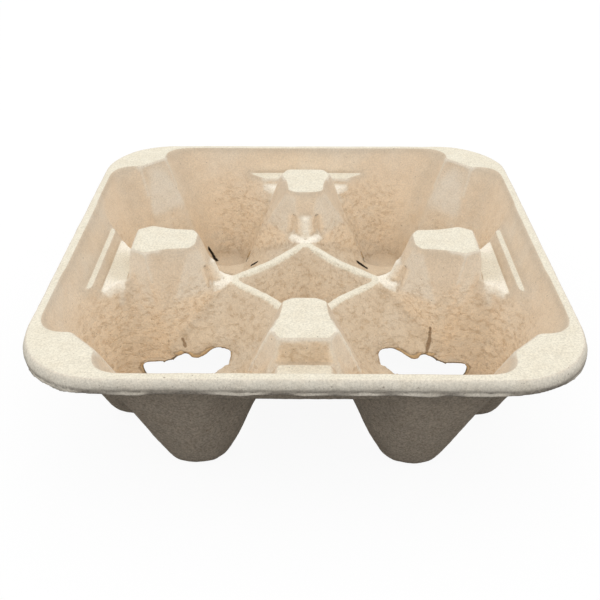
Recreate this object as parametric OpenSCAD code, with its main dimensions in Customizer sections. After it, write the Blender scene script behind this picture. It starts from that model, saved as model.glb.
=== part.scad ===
// Four-cup carrier tray moulded from paper pulp, one thin-walled piece.
// Units are millimetres. The origin is at the middle of the foot plane and Z points up.

/* [Overall] */
// Side of the square carrier measured over the rim lip
carrier_side = 215; // [211:1:219]
// Height from the foot plane to the top of the rim
carrier_height = 61; // [59:0.5:64]
// Thickness of the moulded pulp
wall = 2; // [1.6:0.1:2.4]

/* [Rim] */
// Corner radius of the rim seen from above
corner_radius = 34; // [30:1:38]
// Width of the rim from its outer edge to the cavity
rim_width = 5.5; // [5:0.1:6.5]
// Drop of the turned-down lip
lip_drop = 6.5; // [5.5:0.5:9]
// Rounding of the rim's outer edge
rim_round = 2.6; // [2:0.1:3]

/* [Corner webs] */
// Distance from the carrier's axis to the straight edge of a corner web
web_edge = 77; // [75:0.5:79]
// Corner cut of a web, measured along its straight edges
web_cut = 12; // [10:0.5:14]
// Rounding of the web edge where it runs into the rim
web_round = 9; // [6:0.5:11]

/* [Cup pockets] */
// Distance between the middles of two neighbouring pockets
pocket_pitch = 108; // [106:0.5:110]
// Pocket radius at the level of the post tops
mouth_radius = 44.5; // [43.5:0.1:45.5]
// Distance from the carrier's axis to the inner edges of the square pocket bottom
seat_edge = 33.5; // [32.5:0.1:34.5]
// Half side of the square pocket bottom
seat_half = 18; // [17:0.1:19]
// Corner rounding of the pocket bottom
seat_round = 7; // [5:0.5:9]
// Depth of the pocket bottom below the rim
seat_depth = 47; // [45:0.5:49]

/* [Posts] */
// Depth of the flat post tops below the rim
post_drop = 2; // [1.5:0.1:3]
// Distance from the carrier's axis to the inner end of a post top
post_inner = 49; // [47:0.5:51]
// Distance from the carrier's axis to the outer edge of a post top
post_outer = 78.7; // [77:0.1:80]
// Half width of a post top at its inner end
post_nose_half = 5; // [4:0.1:6]
// Half width of a post top at its outer edge
post_back_half = 9; // [8:0.1:10]
// Half width of a post top at its shoulder
post_shoulder_half = 13; // [12.5:0.1:13.5]
// Distance from the outer edge of a post top back to its shoulder
post_shoulder_back = 6.7; // [6:0.1:7.5]
// Width of the small rib on the inner face of a post
rib_width = 5; // [4.6:0.1:5.6]
// Depth of the rib's top below the rim
rib_depth = 13; // [11:0.5:15]

/* [Feet] */
// Distance from the carrier's axis to the middle of a foot, along the side
foot_offset = 44.5; // [43.5:0.1:45.5]
// Radius of a foot's rounded end
foot_radius = 12; // [11:0.1:13]
// Rounding of a foot's bottom edge
foot_round = 7; // [5:0.5:8]
// Slope of the outer walls from the vertical, degrees
outer_draft = 15.2; // [14.5:0.1:16]

/* [Valleys] */
// Depth of the ledge in the left and right valleys, below the rim
side_ledge_depth = 12; // [11.5:0.1:12.5]
// Depth of the floor in the left and right valleys, below the rim
side_floor_depth = 16.4; // [15.5:0.1:17]
// Width of the floor in the left and right valleys
side_floor_width = 11.6; // [11:0.1:12]
// Depth of the ledge in the front and back valleys, below the rim
end_ledge_depth = 13; // [12.5:0.1:13.5]
// Depth of the two pits in the front and back valleys, below the rim
pit_depth = 17; // [16:0.1:18]
// Width of a pit, measured outward from the post
pit_width = 8.8; // [8:0.1:9.5]
// Distance from the middle of a post to the near end of a pit
pit_start = 12; // [10:0.5:13]

/* [Middle well] */
// Depth of the four ridges below the rim
ridge_depth = 23.5; // [22.5:0.1:24.5]
// Distance from the carrier's axis to the place where two ridges cross
ridge_reach = 35; // [34:0.1:36]
// Width of a ridge's top
ridge_width = 3.4; // [3:0.1:4]
// Distance that a ridge bows towards the well at its middle
ridge_bow = 1.9; // [1:0.1:2.5]
// Depth of the dimples between the crossed ridge ends and a post, below the ridges
dimple_depth = 2.6; // [2:0.1:2.8]
// Depth of the well's floor below the rim
well_depth = 48; // [46:0.5:50]
// Distance from the carrier's axis to a corner of the well's floor
well_floor_reach = 9; // [7:0.5:11]

/* [Openings] */
// Distance from the carrier's axis to the outer side of an opening
opening_outer = 73.5; // [72:0.1:74.5]
// Distance from the carrier's axis to the torn edge in a post's flank
opening_inner = 31; // [30:0.1:32]
// Distance that a foot pad reaches into the opening
pad_reach = 9.5; // [8:0.5:11]
// Half width of a foot pad between its two slits
pad_half = 7.5; // [7:0.1:8.5]
// Distance that a foot pad sits towards the post, off the middle of its foot
pad_shift = 3; // [2:0.5:4]
// Width of the floor strip left between an opening and the front or back foot
strip_width = 9; // [7:0.5:11]
// Height of the torn notch in each post flank, seen from above
notch_reach = 5; // [3:0.5:6]

/* [Hidden] */
half_side = carrier_side / 2;
rim_inner = half_side - rim_width;
pocket_mid = pocket_pitch / 2;
foot_depth = carrier_height - wall;
foot_reach = rim_inner - (foot_depth - foot_round) * tan(outer_draft) - foot_radius;
ledge_inner = post_outer + 1.7;
side_ledge_outer = rim_inner - side_ledge_depth * tan(outer_draft) - 2.2;
end_ledge_outer = rim_inner - end_ledge_depth * tan(outer_draft) - 0.5;
ledge_end = foot_offset - 8;
floor_end = foot_offset - 18;
post_shoulder = post_outer - post_shoulder_back;
seat_mid = seat_edge + seat_half;
mouth_slope = (mouth_radius - pocket_mid + seat_edge) / (seat_depth - post_drop);
bevel_slope = (post_shoulder_half - post_back_half) / post_shoulder_back;
pocket_tip = post_outer + 5;
pocket_tip_half = post_back_half - 5 * bevel_slope + 0.5;
middle_reach = ridge_reach + 6;
nose_bend = [post_inner + 4, post_nose_half + 5.5];
face_slope = (post_inner - middle_reach) / (ridge_depth - post_drop);
pad_mid = foot_offset - pad_shift;
// Outer and inner edge of a ridge, as the sum of a point's two distances from the carrier's axes
ridge_sum = ridge_reach + ridge_width / 2 * sqrt(2);
well_sum = ridge_reach - ridge_width / 2 * sqrt(2);
bow_step = ridge_bow * sqrt(1 / 2);
// Share of the growth that goes sideways, so that sloping walls keep the wall thickness
side_share = 0.7;
skin = 0.02;
// Set-back that keeps two neighbouring hollows from sharing one wall plane
set_back = 0.2;
// Height above the rim at which the hollows start, so that none starts on a face of the rim
brim = 0.6;
rise = 3;
$fn = 24;

// One thin slice of a hollow at a depth below the rim, grown outward and downward
module slice(depth, grow, tall = skin) {
  translate([0, 0, carrier_height - depth - grow])
    linear_extrude(height = tall)
      offset(r = grow * side_share, $fn = 12)
        children();
}

// Four copies turned about the middle
module four_times() {
  for (turn = [0 : 90 : 270])
    rotate(turn)
      children();
}

// A flat shape and its mirror image across the pocket's diagonal
module both_sides() {
  children();
  mirror([1, -1, 0])
    children();
}

module rounded_square(half, radius) {
  offset(r = radius)
    square(2 * (half - radius), center = true);
}

// Solid rim cap with a rounded outer edge, shrunk inward for its hollow underside
module rim_cap(shrink) {
  radius = corner_radius - shrink;
  top = carrier_height - shrink;
  hull()
    four_times()
      translate([half_side - corner_radius, half_side - corner_radius])
        rotate_extrude($fn = 48)
          polygon([
            [0, top - lip_drop],
            [radius, top - lip_drop],
            for (turn = [0 : 22.5 : 90])
              [radius - rim_round * (1 - cos(turn)), top - rim_round * (1 - sin(turn))],
            [0, top]
          ]);
}

// Outline of the cavity at the rim, stepped in at the four corner webs
module mouth_outline() {
  offset(r = web_round)
    offset(r = -web_round)
      difference() {
        square(2 * rim_inner, center = true);
        four_times()
          polygon([
            [web_edge, web_edge + web_cut],
            [web_edge + web_cut, web_edge],
            [half_side, web_edge],
            [half_side, half_side],
            [web_edge, half_side]
          ]);
      }
}

// Shallow cavity above the post tops
module mouth(grow) {
  slice(post_drop, grow, rise + post_drop)
    offset(delta = -post_drop * tan(outer_draft) - set_back)
      mouth_outline();
}

// Round cup pocket that runs down to a rounded square
module cup_pocket(grow) {
  hull() {
    slice(-brim, grow, rise)
      intersection() {
        translate([pocket_mid, pocket_mid])
          circle(mouth_radius + (post_drop + brim) * mouth_slope, $fn = 36);
        polygon([
          [0, 0],
          [2 * web_edge + web_cut, 0],
          [0, 2 * web_edge + web_cut]
        ]);
      }
    slice(seat_depth, grow)
      translate([seat_mid, seat_mid])
        rounded_square(seat_half, seat_round);
  }
}

// Outer lobe of a pocket that ends in a foot
module foot_lobe(grow) {
  hull() {
    slice(-brim, grow, rise)
      intersection() {
        mouth_outline();
        polygon([
          [pocket_tip_half, pocket_tip],
          [foot_offset - 11, rim_inner],
          [web_edge, rim_inner],
          [web_edge, post_shoulder],
          [post_shoulder_half + 12 * bevel_slope - 1, post_shoulder - 12]
        ]);
      }
    for (turn = [0 : 45 : 90])
      slice(foot_depth - foot_round * (1 - sin(turn)), grow)
        hull() {
          translate([foot_offset, foot_reach])
            circle(foot_radius - foot_round * (1 - cos(turn)));
          translate([foot_offset, foot_reach - foot_radius])
            circle(foot_radius - foot_round * (1 - cos(turn)));
        }
  }
}

// Outline between the inner ends of two posts, given at one post by its tip and the end of its bend
module nose_outline(tip, bend) {
  both_sides()
    polygon([[0, 0], tip, bend, [pocket_mid, pocket_mid]]);
}

// Space between the inner ends of two posts, above the crossed ridge ends
module nose_side(grow) {
  hull() {
    slice(-brim, grow, rise)
      nose_outline([post_inner + 0.6, post_nose_half], nose_bend);
    slice(ridge_depth - set_back, grow)
      nose_outline([middle_reach + 0.3, post_nose_half - 1.6], [middle_reach + 3, post_nose_half + 2]);
  }
}

// Inner recess of a pocket that ends at a bowed ridge
module inner_recess(grow) {
  hull() {
    slice(-brim, grow, rise)
      nose_outline([post_inner - 1, post_nose_half], nose_bend);
    slice(ridge_depth, grow)
      polygon([
        [ridge_reach, ridge_sum - ridge_reach],
        [post_inner, post_inner - well_sum],
        [post_inner - well_sum, post_inner],
        [ridge_sum - ridge_reach, ridge_reach],
        [ridge_sum / 2 - bow_step, ridge_sum / 2 - bow_step]
      ]);
    slice(seat_depth, grow)
      translate([seat_mid, seat_mid])
        rounded_square(seat_half, seat_round);
  }
}

// Small upright rib on the inner face of a post, with its hollow back shrunk and its top lowered
module post_rib(grow) {
  hull()
    for (end = [[rib_depth, grow], [ridge_depth + rise, 0]])
      translate([post_inner - (end[0] - post_drop) * face_slope + 1, 0, carrier_height - end[0] - end[1]])
        cylinder(r = rib_width / 2 - grow * side_share, h = skin, $fn = 12);
}

// Small hollow between two crossed ridge ends and the inner face of a post
module dimple(grow) {
  hull() {
    slice(ridge_depth - set_back, grow, rise)
      polygon([
        [ridge_sum, 0],
        [middle_reach + 1, middle_reach + 1 - ridge_sum],
        [middle_reach + 1, ridge_sum - middle_reach - 1]
      ]);
    slice(ridge_depth + dimple_depth, grow)
      polygon([
        [ridge_sum + 1.4, 0],
        [middle_reach, middle_reach - ridge_sum - 1],
        [middle_reach, ridge_sum - middle_reach + 1]
      ]);
  }
}

// Space above the ridges, between the inner faces of the posts
module middle(grow) {
  difference() {
    union() {
      hull() {
        slice(-brim, grow, rise)
          four_times()
            translate([0, -post_nose_half])
              square([post_inner + (post_drop + brim) * face_slope, 2 * post_nose_half]);
        slice(ridge_depth, grow)
          four_times()
            translate([0, -post_nose_half + 1])
              square([middle_reach, 2 * post_nose_half - 2]);
      }
      four_times()
        dimple(grow);
    }
    four_times()
      post_rib(grow);
  }
}

// Quarter of the well's outline, from the middle to one corner, with its two sides bowed inward
module well_quarter(reach, step) {
  polygon([
    [-1, 0],
    [reach / 2 - step, step - reach / 2],
    [reach, 0],
    [reach / 2 - step, reach / 2 - step]
  ]);
}

// Deep four-cornered well inside the ridges
module well(grow) {
  four_times()
    hull() {
      slice(ridge_depth, grow, rise)
        well_quarter(well_sum, bow_step);
      slice(well_depth, grow)
        well_quarter(well_floor_reach, 0);
    }
}

// Upper part of a valley between a post and the outer wall, down to its ledge
module valley_top(grow, depth, outer) {
  hull() {
    slice(-brim, grow, rise)
      translate([post_outer - 0.4, -foot_offset])
        square([rim_inner - set_back - post_outer + 0.4, 2 * foot_offset]);
    slice(depth, grow)
      translate([ledge_inner, -ledge_end])
        square([outer - ledge_inner, 2 * ledge_end]);
  }
}

// Lower part of a valley, from its ledge to its floor, between two places along the post
module valley_floor(grow, top, bottom, width, from, to) {
  hull() {
    slice(top, grow, rise)
      translate([ledge_inner - 0.5, from - 1])
        square([width + 1, to - from + 4]);
    slice(bottom, grow)
      translate([ledge_inner - set_back, from])
        square([width, to - from]);
  }
}

// Valley on the left or right, with one long floor
module side_valley(grow) {
  valley_top(grow, side_ledge_depth, side_ledge_outer);
  for (side = [0, 1])
    mirror([0, side, 0])
      valley_floor(grow, side_ledge_depth, side_floor_depth, side_floor_width, 0, floor_end);
}

// Valley at the front or back, with a pit on each side of the post
module end_valley(grow) {
  valley_top(grow, end_ledge_depth, end_ledge_outer);
  for (side = [0, 1])
    mirror([0, side, 0])
      valley_floor(grow, end_ledge_depth, pit_depth, pit_width, pit_start, floor_end);
}

// All the hollows of the upper side together
module hollows(grow) {
  mouth(grow);
  middle(grow);
  well(grow);
  four_times() {
    cup_pocket(grow);
    inner_recess(grow);
    nose_side(grow);
    both_sides()
      foot_lobe(grow);
  }
  for (turn = [0, 180])
    rotate(turn) {
      side_valley(grow);
      rotate(90)
        end_valley(grow);
    }
}

// Torn outline of the opening in a pocket's bottom, one half of it
module opening_half() {
  polygon([
    [pocket_mid, pocket_mid],
    [opening_inner, opening_inner],
    [opening_inner + 5.5, opening_inner - 2.5],
    [opening_inner + 9, opening_inner - 3.5],
    [opening_inner + 12, opening_inner - 2.2],
    [opening_inner + 16, opening_inner + 0.8],
    [opening_inner + 19, opening_inner + 1.2],
    [pocket_mid - 0.8, opening_inner + 0.8],
    [pocket_mid + 0.2, opening_inner + 0.8 - notch_reach],
    [pocket_mid + 1.2, opening_inner + 0.5],
    [pocket_mid + 5, opening_inner + 0.5],
    [pocket_mid + 12, opening_inner - 0.6],
    [opening_outer, opening_inner - 0.8],
    [opening_outer, pad_mid - pad_half - 1.5],
    [opening_outer - 0.5, pad_mid - pad_half - 0.5],
    [opening_outer - pad_reach + 1, pad_mid - pad_half],
    [opening_outer - pad_reach, pad_mid],
    [opening_outer - pad_reach + 1, pad_mid + pad_half],
    [opening_outer - pad_reach + 2, pad_mid + pad_half + 3],
    [opening_outer - pad_reach, opening_outer - pad_reach]
  ]);
}

// Floor strip that stays between an opening and the front or back foot
module floor_strip() {
  polygon([
    [opening_inner - 5, opening_inner - 1],
    [opening_inner + 3.2, opening_inner],
    [opening_inner + 4.4, opening_inner + 8],
    [opening_inner + 8.5, opening_inner + 12.6],
    [opening_inner + 14, opening_inner + 14.4],
    [opening_inner + 18, opening_inner + 14.8],
    [opening_inner + 18.6, opening_inner + 15.7 + strip_width],
    [opening_inner - 5, opening_inner + 15.3 + strip_width]
  ]);
}

// Through opening between the pocket walls and the foot pads
module opening() {
  translate([0, 0, -1])
    linear_extrude(height = carrier_height - ridge_depth)
      difference() {
        both_sides()
          opening_half();
        floor_strip();
      }
}

module cup_carrier() {
  color("tan")
    difference() {
      union() {
        difference() {
          rim_cap(0);
          rim_cap(wall);
        }
        intersection() {
          hollows(wall);
          translate([-half_side, -half_side, -1])
            cube([carrier_side, carrier_side, carrier_height + 1 - wall / 2]);
        }
      }
      hollows(0);
      for (side = [0, 1], end = [0, 1])
        mirror([side, 0, 0])
          mirror([0, end, 0])
            opening();
    }
}

cup_carrier();
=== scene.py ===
"""Looks of a cup carrier tray moulded from paper pulp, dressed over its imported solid."""

import math

import bpy
import numpy as np
from mathutils import Matrix, Vector, noise


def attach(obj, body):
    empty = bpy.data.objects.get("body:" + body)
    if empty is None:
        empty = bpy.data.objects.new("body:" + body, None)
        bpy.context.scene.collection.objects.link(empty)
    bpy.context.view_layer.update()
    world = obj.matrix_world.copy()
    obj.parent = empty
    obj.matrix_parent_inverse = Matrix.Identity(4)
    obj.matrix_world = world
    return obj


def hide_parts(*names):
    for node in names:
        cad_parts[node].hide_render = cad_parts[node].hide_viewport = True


MM = 0.001

# Places on the tray
CORNER_MIDDLE = 73.5 * MM
LIP_BOTTOM = 54.5 * MM
RIDGE_CROSSING = 35 * MM
RIB_HALF = 2.9 * MM
DIMPLE_MIDDLE = 5.6 * MM
DIMPLE_HALF = 1.4 * MM
FOOT_OUTER_SWELL = 0.8 * MM
FOOT_INNER_SWELL = 2.2 * MM

# Upper and lower end of the outer edge of the front post's flank, in millimetres: reach, beside, height
POST_EDGE = ((73.1, 12.4, 59.0), (66.7, 22.8, 34.2))
POST_EDGE_HALF = 0.8 * MM
POST_EDGE_LIFT = 3 * MM

# Extents of forms, in millimetres: from, to, soft ends
INNER_FACE_REACH = (39, 52, 2)
INNER_FACE_HEIGHT = (36, 46.5, 2)
WING_REACH = (35, 42, 1)
WING_HEIGHT = (36, 40, 1)
INNER_BEVEL_REACH = (44, 58, 3)
INNER_BEVEL_HEIGHT = (39, 55, 3)
OUTER_BEVEL_REACH = (66, 83, 2)
OUTER_BEVEL_HEIGHT = (38, 56, 4)
OUTER_END_REACH = (66, 90, 3)
PANEL_REACH = (77.5, 80.5, 1)
PANEL_HEIGHT = (49.5, 57, 1)
PIT_LIP_REACH = (82, 90, 1)
PIT_LIP_BESIDE = (14, 23, 1)
PIT_LIP_HEIGHT = (41.8, 45, 0.6)
STRIP_EDGE_REACH = (38, 50, 2)
STRIP_EDGE_BESIDE = (34, 47, 2)
STRIP_EDGE_HEIGHT = (11, 15, 1.5)
CLIMB_REACH = (53, 76, 5)

# Soft steps, in millimetres: where they start and where they are full
WING_HALF = (2.2, 3.4)
OUTER_END_HEIGHT = (43, 47)
PANEL_BESIDE = (8, 11)
FOOT_REACH = (58, 66)
FOOT_HEIGHT = (10, 34)
FOOT_APART = (4, 12)
FOOT_BOTTOM_HEIGHT = (8, 16)
CORNER_REACH = (66, 80)
CORNER_BESIDE = (42, 58)
LIP_OUTWARD = (31, 33)
LIP_LOWEST = 52 * MM
TORN_HEIGHT = (20.5, 23)
TORN_BESIDE = (31.5, 34.5)
TORN_BEND = (0.05, 0.12)
EDGE_BEND = (0.03, 0.08)
DEEP_HEIGHT = (33, 53)
FLASH_HEIGHT = (0.3, 1.2)

# Soft steps of a normal's share along one direction
WALL_START = (0.02, 0.15)
WALL_END = (0.72, 0.9)
FACE_INWARD = (0.0, 0.4)
BEVEL_SLANT = (0.25, 0.42)
PANEL_OUTWARD = (0.5, 0.8)
PIT_LIP_UPWARD = (0.05, 0.2)
LEVEL = (0.5, 0.8)
FOOT_LEAN = (0.0, 0.5)
FOOT_UPWARD = (-0.04, 0.02)
INNER_START = (0.02, 0.2)
STEEP_END = (0.75, 0.95)

# Mesh of the moulded skin
WELD_GAP = 1e-6
VOXEL = 0.65 * MM
TRIANGLES = 195000
RELAX_SHARE = 0.5
SOFT_ROUNDS = 12
TORN_ROUNDS = 44
TORN_SPREAD_ROUNDS = 10
TORN_SPREAD_GAIN = 3
TORN_CLIMB = 2.0 * MM
CLIMB_ROUNDS = 40
CLIMB_GAIN = 5
FOOT_ROUNDS = 25
WALL_ROUNDS = 60
CREST_ROUNDS = 60
EDGE_ROUNDS = 6

# Noise over the skin: size in millimetres, octaves, shift
WRINKLE_NOISE = (3.4, 3, 11.0)
LUMP_NOISE = (15, 2, 5.0)
GRAIN_NOISE = (2.0, 2, 23.0)
WAVE_NOISE = (7, 2, 41.0)
TEETH_NOISE = (2.6, 2, 61.0)

# Relief of the skin, in millimetres
WRINKLE_RELIEF = 0.22
LUMP_RELIEF = 0.18
GRAIN_RELIEF = 0.07
TORN_RELIEF = 0.5
TEETH_RELIEF = 0.8
RIB_RELIEF = 0.9
DIMPLE_RELIEF = 0.9
WING_RELIEF = 0.4
POST_EDGE_RELIEF = 0.35
STRIP_EDGE_RELIEF = 2.0
FLASH_RELIEF = 1.0
FLASH_WAVE = 0.5

# Shares that decide how strongly a form is marked
ROUGH_LEAST = 0.12
CORNER_SMOOTH = 0.75
FLASH_LEAST = 0.25
FLASH_LUMPS = (-0.3, 0.3)
BEVEL_STRIP_LIGHT = 0.7
END_EDGE_LIGHT = 0.9
POST_EDGE_HIGHLIGHT = 0.75
DIMPLE_CREST = 1.6
TORN_EDGE_MARK = 2
TORN_ZONE_MARK = 0.5

# Camera, fitted to the photograph
CAMERA_PLACE = Vector((0.92, -331.77, 239.79)) * MM
CAMERA_PITCH = 32.862
CAMERA_TURN = 0.575
CAMERA_ROLL = -0.099
CAMERA_LENS = 49.27
SENSOR_WIDTH = 36.0
CAMERA_NEAREST = 10 * MM

# Pulp colours, linear; some of them are painted light and painted shade
UPPER_WALL = (0.81, 0.675, 0.515)
DEEP_WALL = (0.85, 0.695, 0.51)
OUTSIDE_SHADE = (0.46, 0.39, 0.31)
TOP_LIGHT_CREAM = (0.82, 0.765, 0.63)
HIGHLIGHT_CREAM = (0.95, 0.89, 0.77)
GREY_CREAM = (0.82, 0.755, 0.645)
SHADE = (0.62, 0.50, 0.36)
PANEL_SHADE = (0.68, 0.62, 0.55)
LIP_LIT = (0.88, 0.82, 0.70)
LIP_SHADED = (0.36, 0.32, 0.27)
TORN_BROWN_AND_SHADE = (0.22, 0.13, 0.06)
TORN_TAN_AND_LIGHT = (0.70, 0.50, 0.28)
DARK_FIBRE = (0.16, 0.11, 0.07)
SLIT_SHADE = (0.02, 0.015, 0.01)

# Heights between which the pulp's colour changes
CREAM_HEIGHT = (30 * MM, 35 * MM)
RIDGE_HEIGHT = (43 * MM, 40 * MM)
WALL_HEIGHT = (18 * MM, 50 * MM)

# Noise in the material: scale, detail, roughness and, for the folds, distortion
PATCHES = (42.0, 3.0, 0.55)
MOTTLE = (150.0, 4.0, 0.6)
SPECKLE = (1300.0, 3.0, 0.7)
FELT = (1100.0, 2.0, 0.7)
SPECKS = (900.0, 1.0, 0.5)
FOLDS = (400.0, 4.0, 0.66, 0.3)
FOLD_STRETCH = (0.85, 0.85, 1.25)
FINE_FIBRE = (1900.0, 2.0, 0.6)
COARSE_FIBRE = (480.0, 3.0, 0.6)
RAGGED = (700.0, 2.0)

# Ranges in the material: from, to and, where they aren't zero and one, the results
FLAT_FACING = (0.84, 0.95)
RIDGE_FACING = (0.35, 0.6)
RIDGE_CREST = (0.15, 0.4)
BELOW_FACING = (0.06, -0.06)
LIP_FACING = (0.5, -0.2)
PATCH_SHARE = (0.45, 0.7, 0.0, 0.3)
SLOPE_LIGHT_AND_SHADE = (0.2, 0.6, 1.1, 0.84)
HOLLOW_SHARE = (-0.1, -0.8, 0.0, 0.35)
WEAK_GRAIN = (0.25, 0.75, 0.88, 1.09)
STRONG_GRAIN = (0.25, 0.75, 0.82, 1.13)
FELT_GRAIN = (0.3, 0.7, 0.76, 1.24)
MOTTLE_SHARE = (0.35, 0.7, 0.0, 0.12)
TORN_DARK_SHARE = (0.15, 0.5, 0.0, 0.5)
TORN_LIGHT_SHARE = (0.6, 0.95, 0.0, 0.9)
FOLD_RANGE = (0.55, 0.30)
SPECK_START = 0.74
SPECK_START_LIP = 0.06
SPECK_SHARE = (0.8, 0.0, 0.55)

# Strengths in the material
PANEL_SHARE = 0.5
BEVEL_LIGHT_SHARE = 0.9
WRINKLE_SHARE = 0.42
CRACK_SHARE = 0.75
SCRATCH_RAGGED = 0.8
SCRATCH_OUTER = 1.3
SCRATCH_INNER = 0.9
FINE_BUMP = 0.4
COARSE_BUMP = 0.6
WRINKLE_BUMP = 0.9
BUMP_STRENGTH = 0.5
BUMP_DISTANCE = 0.6 * MM
ROUGHNESS = 0.92
SPECULAR = 0.15

# Floor and light
WHITE = (1.0, 1.0, 1.0)
FLOOR_SEEN = (0.97, 0.97, 0.97)
FLOOR_UNSEEN = (0.12, 0.12, 0.12)
FLOOR_GLOW = 0.93
FLOOR_HALF = 4.0
LAMP_PLACE = Vector((0.0, -0.1, 1.3))
LAMP_SIZE = 1.2
LAMP_POWER = 1.5
DOME_HORIZON = 0.06
DOME_TOP = 1.12
DOME_FULL_HEIGHT = 0.46

# Slits in the back pockets, painted near black as shade, and cracks above the front openings: two ends
# and a half width
SHADED_SLITS = [
    ((-55.6, 79.9, 8.6), (-53.7, 79.8, 4.6), 1.7),
    ((-53.7, 79.8, 4.6), (-51.3, 76.8, 2.8), 1.7),
    ((-28.4, 46.1, 17.8), (-26.0, 45.3, 19.7), 1.5),
    ((28.4, 49.2, 17.8), (32.4, 49.0, 14.8), 1.9),
]
CRACKS = [
    ((-56.2, -25.4, 20.4), (-55.0, -26.8, 18.6), 1.0),
    ((-55.0, -26.8, 18.6), (-54.4, -29.0, 15.2), 1.3),
    ((57.3, -23.6, 25.8), (57.2, -25.2, 21.4), 1.0),
    ((57.2, -25.2, 21.4), (55.6, -29.2, 16.4), 1.3),
]


def keep_result(piece):
    """Replaces a piece's mesh by what its modifiers make of it."""
    graph = bpy.context.evaluated_depsgraph_get()
    mesh = bpy.data.meshes.new_from_object(piece.evaluated_get(graph))
    old = piece.data
    piece.modifiers.clear()
    piece.data = mesh
    bpy.data.meshes.remove(old)


def modify(piece, kind, **settings):
    """Applies one modifier to a piece."""
    modifier = piece.modifiers.new(kind, kind)
    for name, value in settings.items():
        setattr(modifier, name, value)
    keep_result(piece)


def read_points(mesh):
    points = np.empty(len(mesh.vertices) * 3)
    mesh.vertices.foreach_get("co", points)
    return points.reshape(-1, 3)


def read_normals(mesh):
    normals = np.empty(len(mesh.vertices) * 3)
    mesh.vertex_normals.foreach_get("vector", normals)
    return normals.reshape(-1, 3)


def write_points(mesh, points):
    mesh.vertices.foreach_set("co", points.reshape(-1))
    mesh.update()


def smooth_step(values, low, high):
    """Zero up to the low value and one from the high value on."""
    share = np.clip((values - low) / (high - low), 0, 1)
    return share * share * (3 - 2 * share)


def past(values, low, high):
    """A soft step between two lengths in millimetres."""
    return smooth_step(values, low * MM, high * MM)


def between(values, low, high, soft):
    """One between two lengths in millimetres, with soft ends."""
    return smooth_step(values / MM, low - soft, low) * (1 - smooth_step(values / MM, high, high + soft))


def hump(values, middle, half):
    """One at the middle, falling off over about the half width."""
    return np.exp(-((values - middle) / half) ** 2)


def dot_rows(first, second):
    """Dot product of each row of one array with the same row of another."""
    return np.einsum("ij,ij->i", first, second)


def noise_layer(points, size, octaves, shift):
    """Fractal noise at each point, with lumps of about the given size in millimetres."""
    offset = Vector((shift, 2 * shift, 3 * shift))
    scaled = (points / (size * MM)).tolist()
    return np.array([noise.fractal(Vector(point) + offset, 1.0, 2.0, octaves) for point in scaled])


class Neighbours:
    """Averages over the vertices that share an edge."""

    def __init__(self, mesh):
        edges = np.empty(len(mesh.edges) * 2, dtype=np.int64)
        mesh.edges.foreach_get("vertices", edges)
        first, second = edges.reshape(-1, 2).T
        self.near = np.concatenate([first, second])
        self.far = np.concatenate([second, first])
        self.total = len(mesh.vertices)
        self.count = self.sums(np.ones(self.total))

    def sums(self, values):
        return np.bincount(self.near, weights=values[self.far], minlength=self.total)

    def average(self, points):
        return np.stack([self.sums(column) / self.count for column in points.T], axis=1)

    def relax(self, points, rounds, strength=None):
        """Moves each point towards its neighbours' average, several times."""
        share = RELAX_SHARE
        if strength is not None:
            share = RELAX_SHARE * strength[:, None]
        for _ in range(rounds):
            points = points + share * (self.average(points) - points)
        return points

    def spread(self, values, rounds):
        """Spreads a value at each vertex over its surroundings."""
        return self.relax(values[:, None], rounds)[:, 0]

    def bend(self, points, normals, rounds):
        """How far each point stands out of a smoothed copy of the skin, in millimetres."""
        return dot_rows(points - self.relax(points, rounds), normals) / MM


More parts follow.
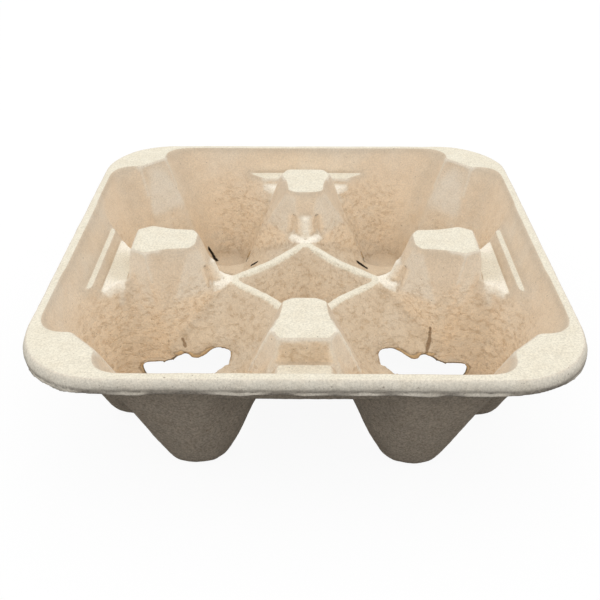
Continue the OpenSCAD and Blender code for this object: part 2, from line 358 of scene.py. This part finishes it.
class Fold:
    """Points and normals of the skin, folded onto one post and the two half pockets beside it."""

    def __init__(self, points, normals):
        rows = np.arange(len(points))
        across = np.abs(points[:, :2])
        along = across.argmax(axis=1)
        self.aside = (rows, 1 - along)
        self.aside_sign = np.sign(points[self.aside])
        self.front = (along == 1) & (points[:, 1] < 0)
        self.leaning = normals[self.aside] * self.aside_sign
        self.reach = across.max(axis=1)
        self.beside = across.min(axis=1)
        self.height = points[:, 2]
        self.outward = np.hypot(*np.maximum(across - CORNER_MIDDLE, 0).T)
        self.inward = -normals[rows, along] * np.sign(points[rows, along])
        self.sideways = np.abs(self.leaning)
        self.upward = normals[:, 2]

    def wall(self):
        """One on the sloping inner walls, zero on flats, the outside and the rim."""
        return smooth_step(self.upward, *WALL_START) * (1 - smooth_step(self.upward, *WALL_END))

    def inner_face(self):
        """One on the inner faces of the posts, above the ridges."""
        near = between(self.reach, *INNER_FACE_REACH) * between(self.height, *INNER_FACE_HEIGHT)
        return near * smooth_step(self.inward - self.sideways, *FACE_INWARD)

    def wing(self):
        """One on the ends of the ridges, beyond the place where two of them cross."""
        off_ridge = np.abs(self.reach - self.beside - RIDGE_CROSSING)
        near = between(self.reach, *WING_REACH) * between(self.height, *WING_HEIGHT)
        return near * (1 - past(off_ridge, *WING_HALF))

    def bevel(self):
        """One on the slanting strips beside the inner and outer faces of the posts."""
        inner = between(self.reach, *INNER_BEVEL_REACH) * between(self.height, *INNER_BEVEL_HEIGHT)
        outer = between(self.reach, *OUTER_BEVEL_REACH) * between(self.height, *OUTER_BEVEL_HEIGHT)
        slant = smooth_step(np.minimum(np.abs(self.inward), self.sideways), *BEVEL_SLANT)
        return np.maximum(inner, outer * (self.upward > 0)) * slant

    def outer_end(self):
        """One around the outer ends of the posts."""
        return between(self.reach, *OUTER_END_REACH) * past(self.height, *OUTER_END_HEIGHT)

    def panel(self):
        """One on the outer faces of the posts."""
        near = between(self.reach, *PANEL_REACH) * between(self.height, *PANEL_HEIGHT)
        near *= 1 - past(self.beside, *PANEL_BESIDE)
        return near * smooth_step(-self.inward, *PANEL_OUTWARD)

    def pit_lip(self):
        """One on the near edges of the valley floors."""
        near = between(self.reach, *PIT_LIP_REACH) * between(self.height, *PIT_LIP_HEIGHT)
        near *= between(self.beside, *PIT_LIP_BESIDE)
        return near * smooth_step(self.upward, *PIT_LIP_UPWARD)

    def strip_edge(self):
        """One on the upright edge of the floor strip beside an opening."""
        near = between(self.reach, *STRIP_EDGE_REACH) * between(self.beside, *STRIP_EDGE_BESIDE)
        near *= between(self.height, *STRIP_EDGE_HEIGHT)
        return near * (1 - smooth_step(np.abs(self.upward), *LEVEL))

    def post_edge(self):
        """One along the outer edges of the front post's flanks."""
        top, bottom = np.array(POST_EDGE) * MM
        offset = np.stack([self.reach, self.beside, self.height], axis=1) - top
        along = bottom - top
        share = np.clip(offset @ along / (along @ along), 0, 1)
        gap = offset - share[:, None] * along
        normal = np.stack([-self.inward, self.leaning, self.upward], axis=1)
        lift = dot_rows(gap, normal)
        away = np.linalg.norm(gap - lift[:, None] * normal, axis=1)
        near = self.front & (self.upward > 0) & (np.abs(lift) < POST_EDGE_LIFT)
        return hump(away, 0, POST_EDGE_HALF) * near

    def foot_side(self):
        """How far the sides of the feet swell, along the rim: fuller on the side of the post."""
        near = past(self.reach, *FOOT_REACH) * (1 - past(self.height, *FOOT_HEIGHT))
        near *= past(self.reach - self.beside, *FOOT_APART)
        near *= 1 - smooth_step(self.upward, *FOOT_UPWARD)
        outer = smooth_step(self.leaning, *FOOT_LEAN) * FOOT_OUTER_SWELL
        inner = smooth_step(-self.leaning, *FOOT_LEAN) * FOOT_INNER_SWELL
        return near * (outer - inner)

    def foot_bottom(self):
        """One on the lower edges of the feet, outside."""
        low = 1 - past(self.height, *FOOT_BOTTOM_HEIGHT)
        return low * (1 - smooth_step(self.upward, *FOOT_UPWARD))

    def smooth_corner(self):
        """One on the outer pocket walls near the corners, which are smoother than the rest."""
        return past(self.reach, *CORNER_REACH) * past(self.beside, *CORNER_BESIDE)

    def torn_place(self):
        """One where the edges of the openings are torn."""
        return (1 - past(self.height, *TORN_HEIGHT)) * (1 - past(self.beside, *TORN_BESIDE))

    def lip(self):
        """One on the turned-down lip of the rim."""
        return past(self.outward, *LIP_OUTWARD) * (self.height > LIP_LOWEST)


def store(mesh, name, values):
    attribute = mesh.attributes.new(name, "FLOAT", "POINT")
    attribute.data.foreach_set("value", values.astype(np.float32))


def fine_copy(node):
    """A copy of a node with small, even faces."""
    tray = node.copy()
    tray.data = node.data.copy()
    tray.name = "pulp_tray"
    bpy.context.collection.objects.link(tray)
    modify(tray, "WELD", merge_threshold=WELD_GAP)
    modify(tray, "REMESH", mode="VOXEL", voxel_size=VOXEL)
    return tray


def soften(mesh, neighbours):
    """Rounds the edges, wears the torn ones and evens out the walls. Marks the torn edges too."""
    points = neighbours.relax(read_points(mesh), SOFT_ROUNDS)
    write_points(mesh, points)
    normals = read_normals(mesh)
    fold = Fold(points, normals)
    torn = smooth_step(neighbours.bend(points, normals, EDGE_ROUNDS), *TORN_BEND) * fold.torn_place()
    torn_zone = np.clip(TORN_SPREAD_GAIN * neighbours.spread(torn, TORN_SPREAD_ROUNDS), 0, 1)
    climb = np.clip(CLIMB_GAIN * neighbours.spread(torn, CLIMB_ROUNDS), 0, 1)
    climb *= TORN_CLIMB * between(fold.reach, *CLIMB_REACH)
    up_the_wall = np.array((0.0, 0.0, 1.0)) - normals * normals[:, 2:]
    points = points + up_the_wall * climb[:, None]
    points = neighbours.relax(points, TORN_ROUNDS, torn_zone)
    teeth = TEETH_RELIEF * MM * torn * noise_layer(points, *TEETH_NOISE)
    points = points + up_the_wall * teeth[:, None]
    wall = fold.wall() * (1 - fold.inner_face()) * (1 - fold.outer_end()) * (1 - torn_zone)
    points = neighbours.relax(points, WALL_ROUNDS, wall)
    points = neighbours.relax(points, FOOT_ROUNDS, fold.foot_bottom())
    write_points(mesh, points)
    return points, torn, torn_zone


def shape_relief(mesh, neighbours, points, torn, torn_zone):
    """Gives the skin its lumps, wrinkles and small forms, and stores what the material needs."""
    normals = read_normals(mesh)
    fold = Fold(points, normals)
    crest = neighbours.bend(points, normals, CREST_ROUNDS)
    edge = smooth_step(neighbours.bend(points, normals, EDGE_ROUNDS), *EDGE_BEND)
    inner = smooth_step(fold.upward, *INNER_START)
    steep = 1 - smooth_step(fold.upward, *STEEP_END)
    deep = 1 - past(fold.height, *DEEP_HEIGHT)
    lip = fold.lip()
    wing = fold.wing()
    panel = fold.panel()
    post_edge = fold.post_edge()
    inner_face = fold.inner_face()
    rib = inner_face * hump(fold.beside, 0, RIB_HALF)
    dimple = inner_face * hump(fold.beside, DIMPLE_MIDDLE, DIMPLE_HALF)
    rough = inner * steep * (ROUGH_LEAST + (1 - ROUGH_LEAST) * deep)
    rough = np.maximum(rough * (1 - CORNER_SMOOTH * fold.smooth_corner()), panel)

    lump = noise_layer(points, *LUMP_NOISE)
    wave = noise_layer(points, *WAVE_NOISE)
    push = WRINKLE_RELIEF * rough * noise_layer(points, *WRINKLE_NOISE)
    push += LUMP_RELIEF * lump
    push += GRAIN_RELIEF * np.maximum(1 - inner, lip) * noise_layer(points, *GRAIN_NOISE)
    push += TORN_RELIEF * torn * wave
    push += RIB_RELIEF * rib - DIMPLE_RELIEF * dimple
    push += WING_RELIEF * wing + POST_EDGE_RELIEF * post_edge
    push += STRIP_EDGE_RELIEF * fold.strip_edge()
    points = points + normals * (push * MM)[:, None]
    points[fold.aside] += fold.aside_sign * fold.foot_side()

    # Thin flash along the lip's lower edge, then nothing below the floor
    flash = lip * (1 - past(points[:, 2] - LIP_BOTTOM, *FLASH_HEIGHT))
    flash *= FLASH_LEAST + (1 - FLASH_LEAST) * smooth_step(lump, *FLASH_LUMPS)
    points[:, :2] += normals[:, :2] * (FLASH_RELIEF * MM * flash)[:, None]
    points[:, 2] += FLASH_WAVE * MM * flash * wave
    points[:, 2] = np.maximum(points[:, 2], 0.0)
    write_points(mesh, points)

    end_edge = edge * fold.outer_end() * steep
    strips = fold.bevel() * (1 - inner_face)
    store(mesh, "rough", rough)
    store(mesh, "crest", crest - DIMPLE_CREST * dimple)
    # Painted light on the bevel strips, the posts' outer end edges and the front post's edges
    store(mesh, "painted_bevel_light", np.max([BEVEL_STRIP_LIGHT * strips, END_EDGE_LIGHT * end_edge, post_edge], axis=0))
    # Painted highlights on the ribs, wings, valley floor edges and front post edges
    store(mesh, "painted_highlights", np.max([rib, wing, fold.pit_lip(), POST_EDGE_HIGHLIGHT * post_edge], axis=0))
    store(mesh, "panel", panel)
    store(mesh, "lip", lip)
    store(mesh, "flash", flash)
    store(mesh, "torn", np.clip(torn_zone * (TORN_EDGE_MARK * torn + TORN_ZONE_MARK), 0, 1))


def moulded_skin(node):
    """The tray's skin with soft edges and the lumps and wrinkles of wet-laid pulp."""
    tray = fine_copy(node)
    neighbours = Neighbours(tray.data)
    points, torn, torn_zone = soften(tray.data, neighbours)
    shape_relief(tray.data, neighbours, points, torn, torn_zone)
    modify(tray, "DECIMATE", ratio=TRIANGLES / (2 * len(tray.data.polygons)))
    tray.data.shade_smooth()
    return tray


class Nodes:
    """Short ways to add shader nodes to a material or a world."""

    def __init__(self, owner):
        self.owner = owner
        owner.use_nodes = True
        self.tree = owner.node_tree
        self.tree.nodes.clear()

    def add(self, kind, inputs=None, **settings):
        node = self.tree.nodes.new(kind)
        for name, value in settings.items():
            setattr(node, name, value)
        for name, value in (inputs or {}).items():
            self.put(node.inputs[name], value)
        return node

    def put(self, socket, value):
        if isinstance(value, bpy.types.NodeSocket):
            self.tree.links.new(value, socket)
        else:
            socket.default_value = value

    def attribute(self, name):
        return self.add("ShaderNodeAttribute", attribute_name=name).outputs["Fac"]

    def noise(self, place, scale, detail=3.0, roughness=0.55, distortion=0.0):
        node = self.add("ShaderNodeTexNoise", {
            "Vector": place, "Scale": scale, "Detail": detail,
            "Roughness": roughness, "Distortion": distortion})
        return node.outputs["Fac"]

    def remap(self, value, low, high, to_low=0.0, to_high=1.0):
        node = self.add("ShaderNodeMapRange", {
            "Value": value, "From Min": low, "From Max": high, "To Min": to_low, "To Max": to_high},
            interpolation_type="SMOOTHSTEP")
        return node.outputs["Result"]

    def math(self, operation, first, second=0.0):
        node = self.add("ShaderNodeMath", operation=operation)
        self.put(node.inputs[0], first)
        self.put(node.inputs[1], second)
        return node.outputs[0]

    def vector_math(self, operation, first, second):
        node = self.add("ShaderNodeVectorMath", operation=operation)
        self.put(node.inputs[0], first)
        self.put(node.inputs[1], second)
        return node

    def mix(self, share, first, second, blend="MIX"):
        node = self.add("ShaderNodeMix", data_type="RGBA", blend_type=blend)
        self.put(node.inputs["Factor"], share)
        self.put(node.inputs["A"], first)
        self.put(node.inputs["B"], second)
        return node.outputs["Result"]

    def scratch(self, place, start, end, radius):
        """One along a straight scratch between two points, zero away from it."""
        along = end - start
        offset = self.vector_math("SUBTRACT", place, start).outputs["Vector"]
        dot = self.vector_math("DOT_PRODUCT", offset, along / along.length_squared).outputs["Value"]
        share = self.add("ShaderNodeClamp", {"Value": dot}).outputs["Result"]
        nearest = self.add("ShaderNodeVectorMath", {"Vector": along, "Scale": share}, operation="SCALE")
        gap = self.vector_math("DISTANCE", offset, nearest.outputs["Vector"]).outputs["Value"]
        uneven = self.math("MULTIPLY", self.noise(place, *RAGGED), SCRATCH_RAGGED * radius)
        ragged = self.math("ADD", gap, uneven)
        return self.remap(ragged, SCRATCH_OUTER * radius, SCRATCH_INNER * radius)

    def scratches(self, place, lines):
        """One along any of several scratches."""
        mark = 0.0
        for start, end, radius in lines:
            line = self.scratch(place, Vector(start) * MM, Vector(end) * MM, radius * MM)
            mark = self.math("MAXIMUM", line, mark)
        return mark


def rgba(colour):
    return (*colour, 1.0)


def pulp_colour(n, place, wrinkles):
    """Colour of the pulp: tan on the walls, cream on the flats partly as painted light, painted shade
    outside and in hollows, painted highlights on small forms, brown where torn.
    """
    normal = n.add("ShaderNodeNewGeometry").outputs["Normal"]
    facing_up = n.add("ShaderNodeSeparateXYZ", {"Vector": normal}).outputs["Z"]
    height = n.add("ShaderNodeSeparateXYZ", {"Vector": place}).outputs["Z"]
    crest = n.attribute("crest")
    torn = n.attribute("torn")
    lip = n.attribute("lip")
    patches = n.noise(place, *PATCHES)
    mottle = n.noise(place, *MOTTLE)
    speckle = n.noise(place, *SPECKLE)
    felt = n.noise(place, *FELT)
    specks = n.noise(place, *SPECKS)
    high = n.remap(height, *CREAM_HEIGHT)
    flat = n.math("MULTIPLY", n.remap(facing_up, *FLAT_FACING), high)
    ridge = n.math("MULTIPLY", n.remap(crest, *RIDGE_CREST), n.remap(facing_up, *RIDGE_FACING))
    ridge = n.math("MULTIPLY", ridge, n.math("MULTIPLY", high, n.remap(height, *RIDGE_HEIGHT)))
    painted_highlights = n.attribute("painted_highlights")
    lit_tops = n.math("MAXIMUM", flat, ridge)
    below = n.remap(facing_up, *BELOW_FACING)

    # Lower walls a little lighter and warmer: painted light against the shade deep in the pockets
    colour = n.mix(n.remap(height, *WALL_HEIGHT), rgba(DEEP_WALL), rgba(UPPER_WALL))
    colour = n.mix(n.remap(patches, *PATCH_SHARE), colour, rgba(GREY_CREAM))
    # Painted light and shade by slope: steep walls lighter, faces tilted up darker
    colour = n.mix(1.0, colour, n.remap(facing_up, *SLOPE_LIGHT_AND_SHADE), "MULTIPLY")
    colour = n.mix(n.remap(crest, *HOLLOW_SHARE), colour, rgba(SHADE), "MULTIPLY")
    panel = n.math("MULTIPLY", n.attribute("panel"), PANEL_SHARE)
    colour = n.mix(panel, colour, rgba(PANEL_SHADE), "MULTIPLY")
    # Painted light on bevels and edges
    painted_bevel_light = n.math("MULTIPLY", n.attribute("painted_bevel_light"), BEVEL_LIGHT_SHARE)
    colour = n.mix(painted_bevel_light, colour, rgba(GREY_CREAM))
    # Downward faces darker: a rougher outer side, mostly painted shade from the light above
    colour = n.mix(below, colour, rgba(OUTSIDE_SHADE))
    # Cream on high flats and ridge tops: partly paler fibre, partly painted light from above
    colour = n.mix(lit_tops, colour, rgba(TOP_LIGHT_CREAM))
    # Painted highlight on small raised forms
    colour = n.mix(painted_highlights, colour, rgba(HIGHLIGHT_CREAM))
    # Lip: painted light on its upper half, painted shade on its lower half
    lip_colour = n.mix(n.remap(facing_up, *LIP_FACING), rgba(LIP_LIT), rgba(LIP_SHADED))
    # Painted highlight along the flash at the lip's lower edge
    lip_colour = n.mix(n.attribute("flash"), lip_colour, rgba(GREY_CREAM))
    colour = n.mix(lip, colour, lip_colour)
    coarse_grain = n.math("MAXIMUM", lit_tops, lip)
    weak_grain = n.remap(speckle, *WEAK_GRAIN)
    strong_grain = n.remap(speckle, *STRONG_GRAIN)
    grain = n.mix(coarse_grain, weak_grain, strong_grain)
    colour = n.mix(1.0, colour, grain, "MULTIPLY")
    colour = n.mix(below, colour, n.remap(felt, *FELT_GRAIN), "MULTIPLY")
    colour = n.mix(n.remap(mottle, *MOTTLE_SHARE), colour, rgba(SHADE), "MULTIPLY")
    colour = n.mix(n.math("MULTIPLY", wrinkles, WRINKLE_SHARE), colour, rgba(SHADE), "MULTIPLY")
    # Torn edges: browner exposed fibre, with painted shade in a band around them and painted light on
    # the edge itself
    colour = n.mix(n.remap(torn, *TORN_DARK_SHARE), colour, rgba(TORN_BROWN_AND_SHADE))
    colour = n.mix(n.remap(torn, *TORN_LIGHT_SHARE), colour, rgba(TORN_TAN_AND_LIGHT))
    speck_start = n.math("SUBTRACT", SPECK_START, n.math("MULTIPLY", lip, SPECK_START_LIP))
    return n.mix(n.remap(specks, speck_start, *SPECK_SHARE), colour, rgba(DARK_FIBRE))


def pulp_material():
    """Fibrous paper pulp with wrinkles, torn edges and slits painted near black as painted shade."""
    n = Nodes(bpy.data.materials.new("moulded_pulp"))
    place = n.add("ShaderNodeTexCoord").outputs["Object"]
    rough = n.attribute("rough")
    stretched = n.add("ShaderNodeMapping", {"Vector": place, "Scale": FOLD_STRETCH}).outputs["Vector"]
    folds = n.noise(stretched, *FOLDS)
    wrinkles = n.math("MULTIPLY", n.remap(folds, *FOLD_RANGE), rough)
    slit_shade = n.scratches(place, SHADED_SLITS)
    crack = n.scratches(place, CRACKS)
    colour = pulp_colour(n, place, wrinkles)
    colour = n.mix(n.math("MULTIPLY", crack, CRACK_SHARE), colour, rgba(TORN_BROWN_AND_SHADE))
    # Slits painted near black: painted shade in the narrow gaps
    colour = n.mix(slit_shade, colour, rgba(SLIT_SHADE))
    fine = n.math("MULTIPLY", n.noise(place, *FINE_FIBRE), FINE_BUMP)
    coarse = n.math("MULTIPLY", n.noise(place, *COARSE_FIBRE), COARSE_BUMP)
    relief = n.math("ADD", fine, coarse)
    relief = n.math("SUBTRACT", relief, n.math("MULTIPLY", wrinkles, WRINKLE_BUMP))
    bump = n.add("ShaderNodeBump", {
        "Strength": BUMP_STRENGTH, "Distance": BUMP_DISTANCE, "Height": relief})
    shader = n.add("ShaderNodeBsdfPrincipled", {
        "Base Color": colour, "Roughness": ROUGHNESS, "Specular IOR Level": SPECULAR,
        "Normal": bump.outputs["Normal"]})
    output = n.add("ShaderNodeOutputMaterial")
    n.put(output.inputs["Surface"], shader.outputs["BSDF"])
    return n.owner


def seen_directly(n):
    """One for rays from the camera and for mirror or glass rays, zero for the rest."""
    path = n.add("ShaderNodeLightPath")
    mirrored = n.math("ADD", path.outputs["Is Glossy Ray"], path.outputs["Is Transmission Ray"])
    return n.math("ADD", path.outputs["Is Camera Ray"], mirrored)


def floor_material():
    """Plain pale floor with a light shadow, which sends little light back up at the tray."""
    n = Nodes(bpy.data.materials.new("pale_floor"))
    seen = seen_directly(n)
    colour = n.mix(seen, rgba(FLOOR_UNSEEN), rgba(FLOOR_SEEN))
    matt = n.add("ShaderNodeBsdfDiffuse", {"Color": colour})
    glow = n.add("ShaderNodeEmission", {"Color": rgba(WHITE), "Strength": 1.0})
    blend = n.add("ShaderNodeMixShader", {"Fac": n.math("MULTIPLY", seen, FLOOR_GLOW)})
    n.put(blend.inputs[1], matt.outputs["BSDF"])
    n.put(blend.inputs[2], glow.outputs["Emission"])
    output = n.add("ShaderNodeOutputMaterial")
    n.put(output.inputs["Surface"], blend.outputs["Shader"])
    return n.owner


def add_floor():
    mesh = bpy.data.meshes.new("floor")
    corners = [(x * FLOOR_HALF, y * FLOOR_HALF, 0) for x, y in ((-1, -1), (1, -1), (1, 1), (-1, 1))]
    mesh.from_pydata(corners, [], [(0, 1, 2, 3)])
    floor = bpy.data.objects.new("floor", mesh)
    bpy.context.collection.objects.link(floor)
    mesh.materials.append(floor_material())


def add_lamp():
    lamp = bpy.data.lights.new("overhead", "AREA")
    lamp.shape = "DISK"
    lamp.size = LAMP_SIZE
    lamp.energy = LAMP_POWER
    holder = bpy.data.objects.new("overhead", lamp)
    holder.location = LAMP_PLACE
    holder.rotation_euler = (-LAMP_PLACE).to_track_quat("-Z", "Y").to_euler()
    bpy.context.collection.objects.link(holder)


def add_dome():
    """Soft light from above, dim at the horizon and white where it is seen."""
    world = bpy.data.worlds.new("studio")
    bpy.context.scene.world = world
    n = Nodes(world)
    direction = n.add("ShaderNodeTexCoord").outputs["Generated"]
    height = n.add("ShaderNodeSeparateXYZ", {"Vector": direction}).outputs["Z"]
    dome = n.remap(height, 0.0, DOME_FULL_HEIGHT, DOME_HORIZON, DOME_TOP)
    strength = n.add("ShaderNodeMix", {"Factor": seen_directly(n)}, data_type="FLOAT")
    n.put(strength.inputs["A"], dome)
    n.put(strength.inputs["B"], 1.0)
    background = n.add("ShaderNodeBackground", {
        "Color": rgba(WHITE), "Strength": strength.outputs["Result"]})
    output = n.add("ShaderNodeOutputWorld")
    n.put(output.inputs["Surface"], background.outputs["Background"])


def add_camera():
    data = bpy.data.cameras.new("camera")
    data.sensor_width = SENSOR_WIDTH
    data.lens = CAMERA_LENS
    data.clip_start = CAMERA_NEAREST
    camera = bpy.data.objects.new("camera", data)
    turn = Matrix.Rotation(math.radians(CAMERA_TURN), 4, "Z")
    tilt = Matrix.Rotation(math.radians(90 - CAMERA_PITCH), 4, "X")
    roll = Matrix.Rotation(math.radians(CAMERA_ROLL), 4, "Z")
    camera.matrix_world = Matrix.Translation(CAMERA_PLACE) @ turn @ tilt @ roll
    bpy.context.collection.objects.link(camera)
    bpy.context.scene.camera = camera


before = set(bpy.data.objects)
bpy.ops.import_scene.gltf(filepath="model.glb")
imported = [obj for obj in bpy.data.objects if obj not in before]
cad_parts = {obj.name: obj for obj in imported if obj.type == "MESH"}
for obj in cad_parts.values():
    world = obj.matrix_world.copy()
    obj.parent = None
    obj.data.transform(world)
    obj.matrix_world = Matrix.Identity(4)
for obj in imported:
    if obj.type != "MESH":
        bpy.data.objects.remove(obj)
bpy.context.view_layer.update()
bpy.context.scene.view_settings.view_transform = "Standard"

tray = moulded_skin(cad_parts["cup_carrier"])
tray.data.materials.clear()
tray.data.materials.append(pulp_material())
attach(tray, "root")
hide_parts("cup_carrier")

add_floor()
add_lamp()
add_dome()
add_camera()
